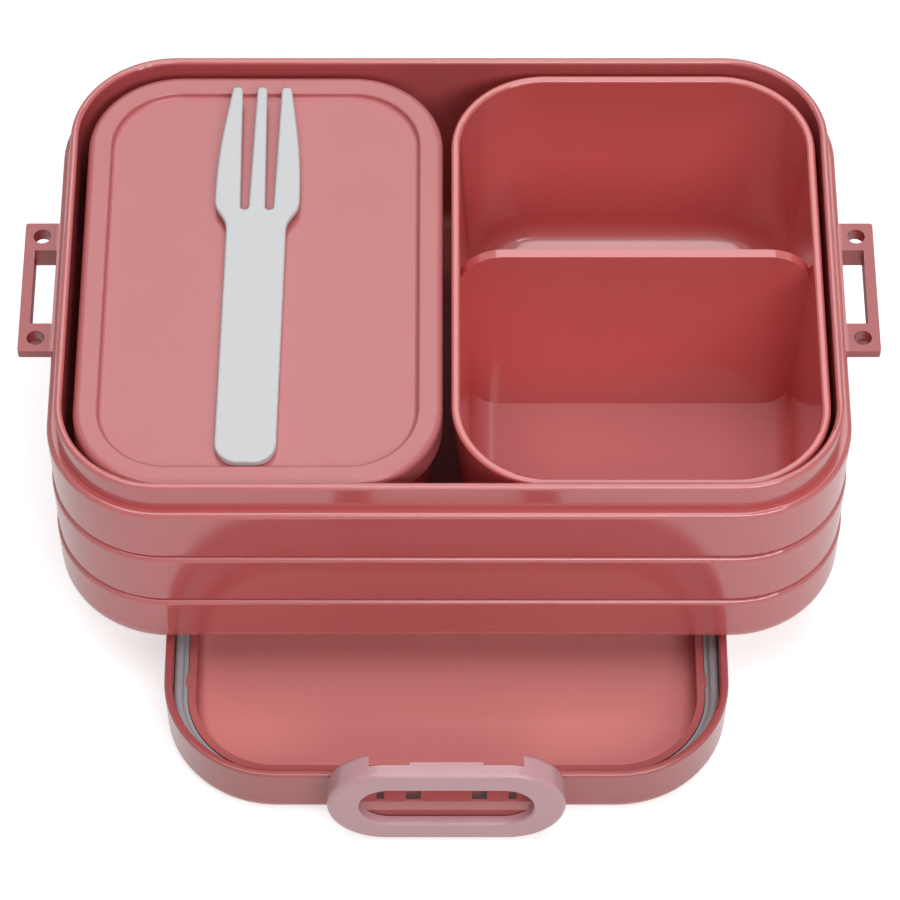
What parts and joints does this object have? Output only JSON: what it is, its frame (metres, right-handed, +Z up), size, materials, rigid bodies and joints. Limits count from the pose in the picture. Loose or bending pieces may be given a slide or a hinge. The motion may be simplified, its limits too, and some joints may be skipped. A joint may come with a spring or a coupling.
{
  "type": "bento lunch box",
  "caption": "Banded lunch container standing crosswise on its upturned sealing lid with swing latches, holding a lidded inner box, a divided insert and a fork.",
  "frame": {"origin": "on the ground, below the middle of the whole set", "axes": "+Z up, -Y towards the front latch, X along the long side of the container"},
  "size_m": [0.1834, 0.1838, 0.0718],
  "materials": {
    "box_plastic": "glossy moulded plastic, dusty rose",
    "inner_lid_plastic": "satin moulded plastic, dusty rose",
    "latch_plastic": "satin moulded plastic, pale pink",
    "seal_rubber": "matte silicone, grey",
    "fork_plastic": "satin moulded plastic, off-white"
  },
  "bodies": {
    "lid": {"lid": "box_plastic", "sealing_ring": "seal_rubber"},
    "front_latch": {"front_latch": "latch_plastic"},
    "rear_latch": {"rear_latch": "latch_plastic"},
    "container": {"container": "box_plastic"},
    "inner_box": {"inner_box": "box_plastic"},
    "inner_box_lid": {"inner_box_lid": "inner_lid_plastic"},
    "divided_insert": {"divided_insert": "box_plastic"},
    "fork": {"fork": "fork_plastic"}
  },
  "joints": [
    {"name": "front_latch_hinge", "type": "hinge", "parent": "lid", "child": "front_latch", "pos_m": [-0.0006, -0.088, 0.0053], "axis": [1, 0, 0], "range_deg": [0, 90]},
    {"name": "rear_latch_hinge", "type": "hinge", "parent": "lid", "child": "rear_latch", "pos_m": [-0.0006, 0.088, 0.0053], "axis": [-1, 0, 0], "range_deg": [0, 90]},
    {"name": "container_lift", "type": "slide", "parent": "lid", "child": "container", "axis": [0, 0, 1], "range_m": [0, 0.06]},
    {"name": "inner_box_lift", "type": "slide", "parent": "container", "child": "inner_box", "axis": [0, 0, 1], "range_m": [0, 0.06]},
    {"name": "inner_lid_lift", "type": "slide", "parent": "inner_box", "child": "inner_box_lid", "axis": [0, 0, 1], "range_m": [0, 0.02]},
    {"name": "insert_lift", "type": "slide", "parent": "container", "child": "divided_insert", "axis": [0, 0, 1], "range_m": [0, 0.06]},
    {"name": "fork_lift", "type": "slide", "parent": "inner_box_lid", "child": "fork", "axis": [0, 0, 1], "range_m": [0, 0.03]}
  ]
}
